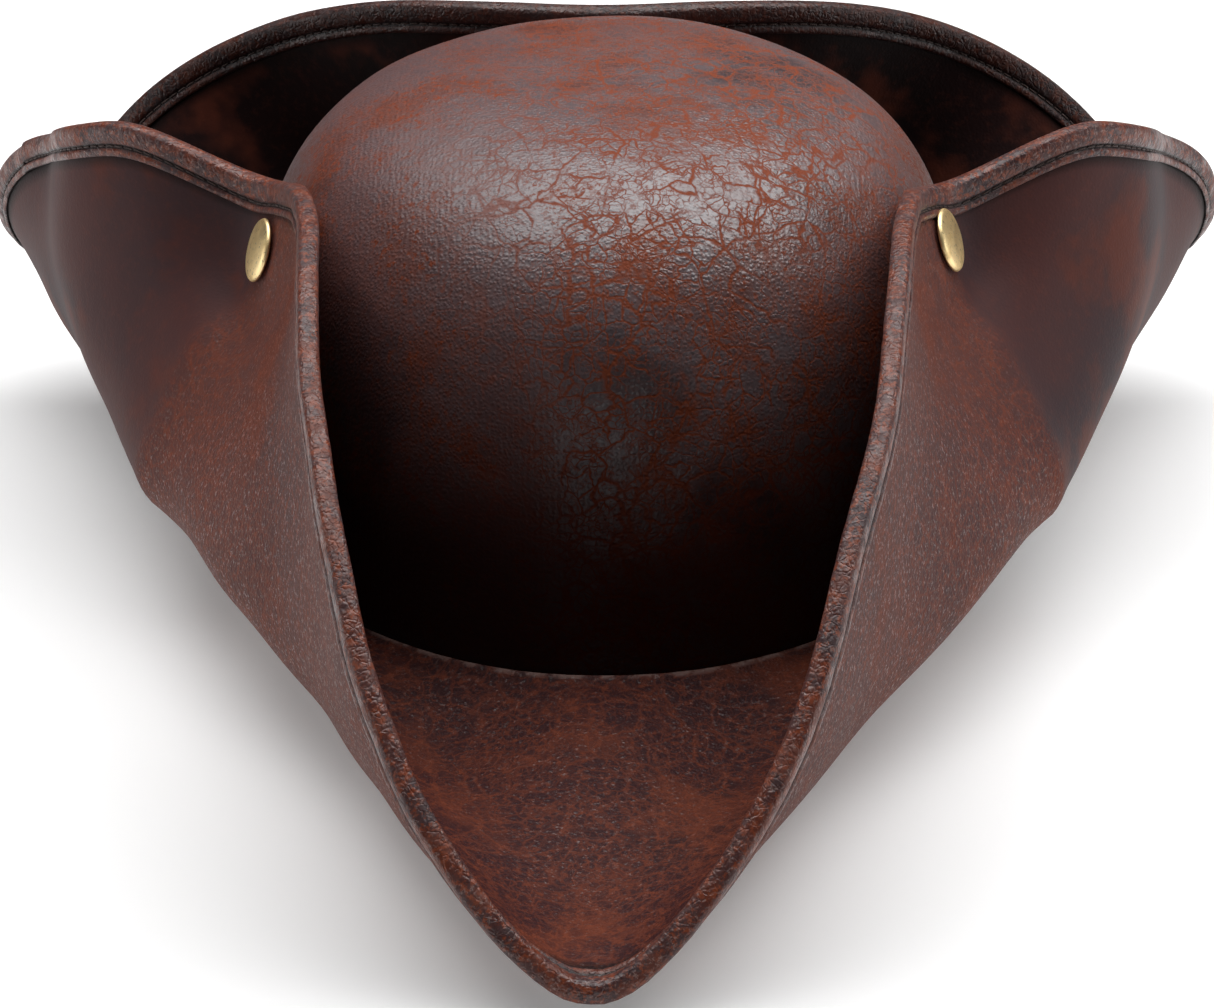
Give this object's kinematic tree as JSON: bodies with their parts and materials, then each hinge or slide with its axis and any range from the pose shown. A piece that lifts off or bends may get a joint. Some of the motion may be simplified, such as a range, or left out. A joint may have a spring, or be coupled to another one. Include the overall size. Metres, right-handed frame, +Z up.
{
  "type": "tricorn pirate hat",
  "caption": "Three-cornered costume pirate hat of distressed faux leather, with a moulded dome crown and a bound brim folded up and riveted to the crown.",
  "frame": {"origin": "centre of the head opening, on the seam where the crown meets the brim", "axes": "-Y towards the hat's front point, +Z up through the crown, +X towards the wearer's left side, which is on the right seen from the front"},
  "size_m": [0.3372, 0.3669, 0.1275],
  "materials": {
    "crown_leather": "semi-gloss crackled faux leather, rust and plum patches",
    "brim_upper_leather": "semi-gloss distressed faux leather",
    "brim_under_leather": "satin distressed faux leather, blue-grey and rust patches",
    "binding_leather": "worn satin faux leather tape",
    "sweatband_leather": "smooth matte",
    "stiffening": "stiff matted felt",
    "lining_cloth": "fine plain weave with a slight sheen",
    "label_cloth": "blank woven label",
    "reed_plastic": "translucent flexible cord",
    "wire_steel": "plain spring wire",
    "antique_brass": "dull antique brass"
  },
  "bodies": {
    "root": {"crown_shell": "crown_leather", "crown_interlining": "stiffening", "lining_side": "lining_cloth", "lining_tip": "lining_cloth", "sweatband": "sweatband_leather", "sweatband_reed": "reed_plastic", "size_label": "label_cloth", "brim_upper_cover": "brim_upper_leather", "brim_stiffener": "stiffening", "brim_under_cover": "brim_under_leather", "brim_wire": "wire_steel", "edge_binding": "binding_leather", "rivet_cap_left": "antique_brass", "rivet_cap_right": "antique_brass", "rivet_cap_back": "antique_brass", "rivet_burr_left": "antique_brass", "rivet_burr_right": "antique_brass", "rivet_burr_back": "antique_brass"}
  },
  "joints": []
}
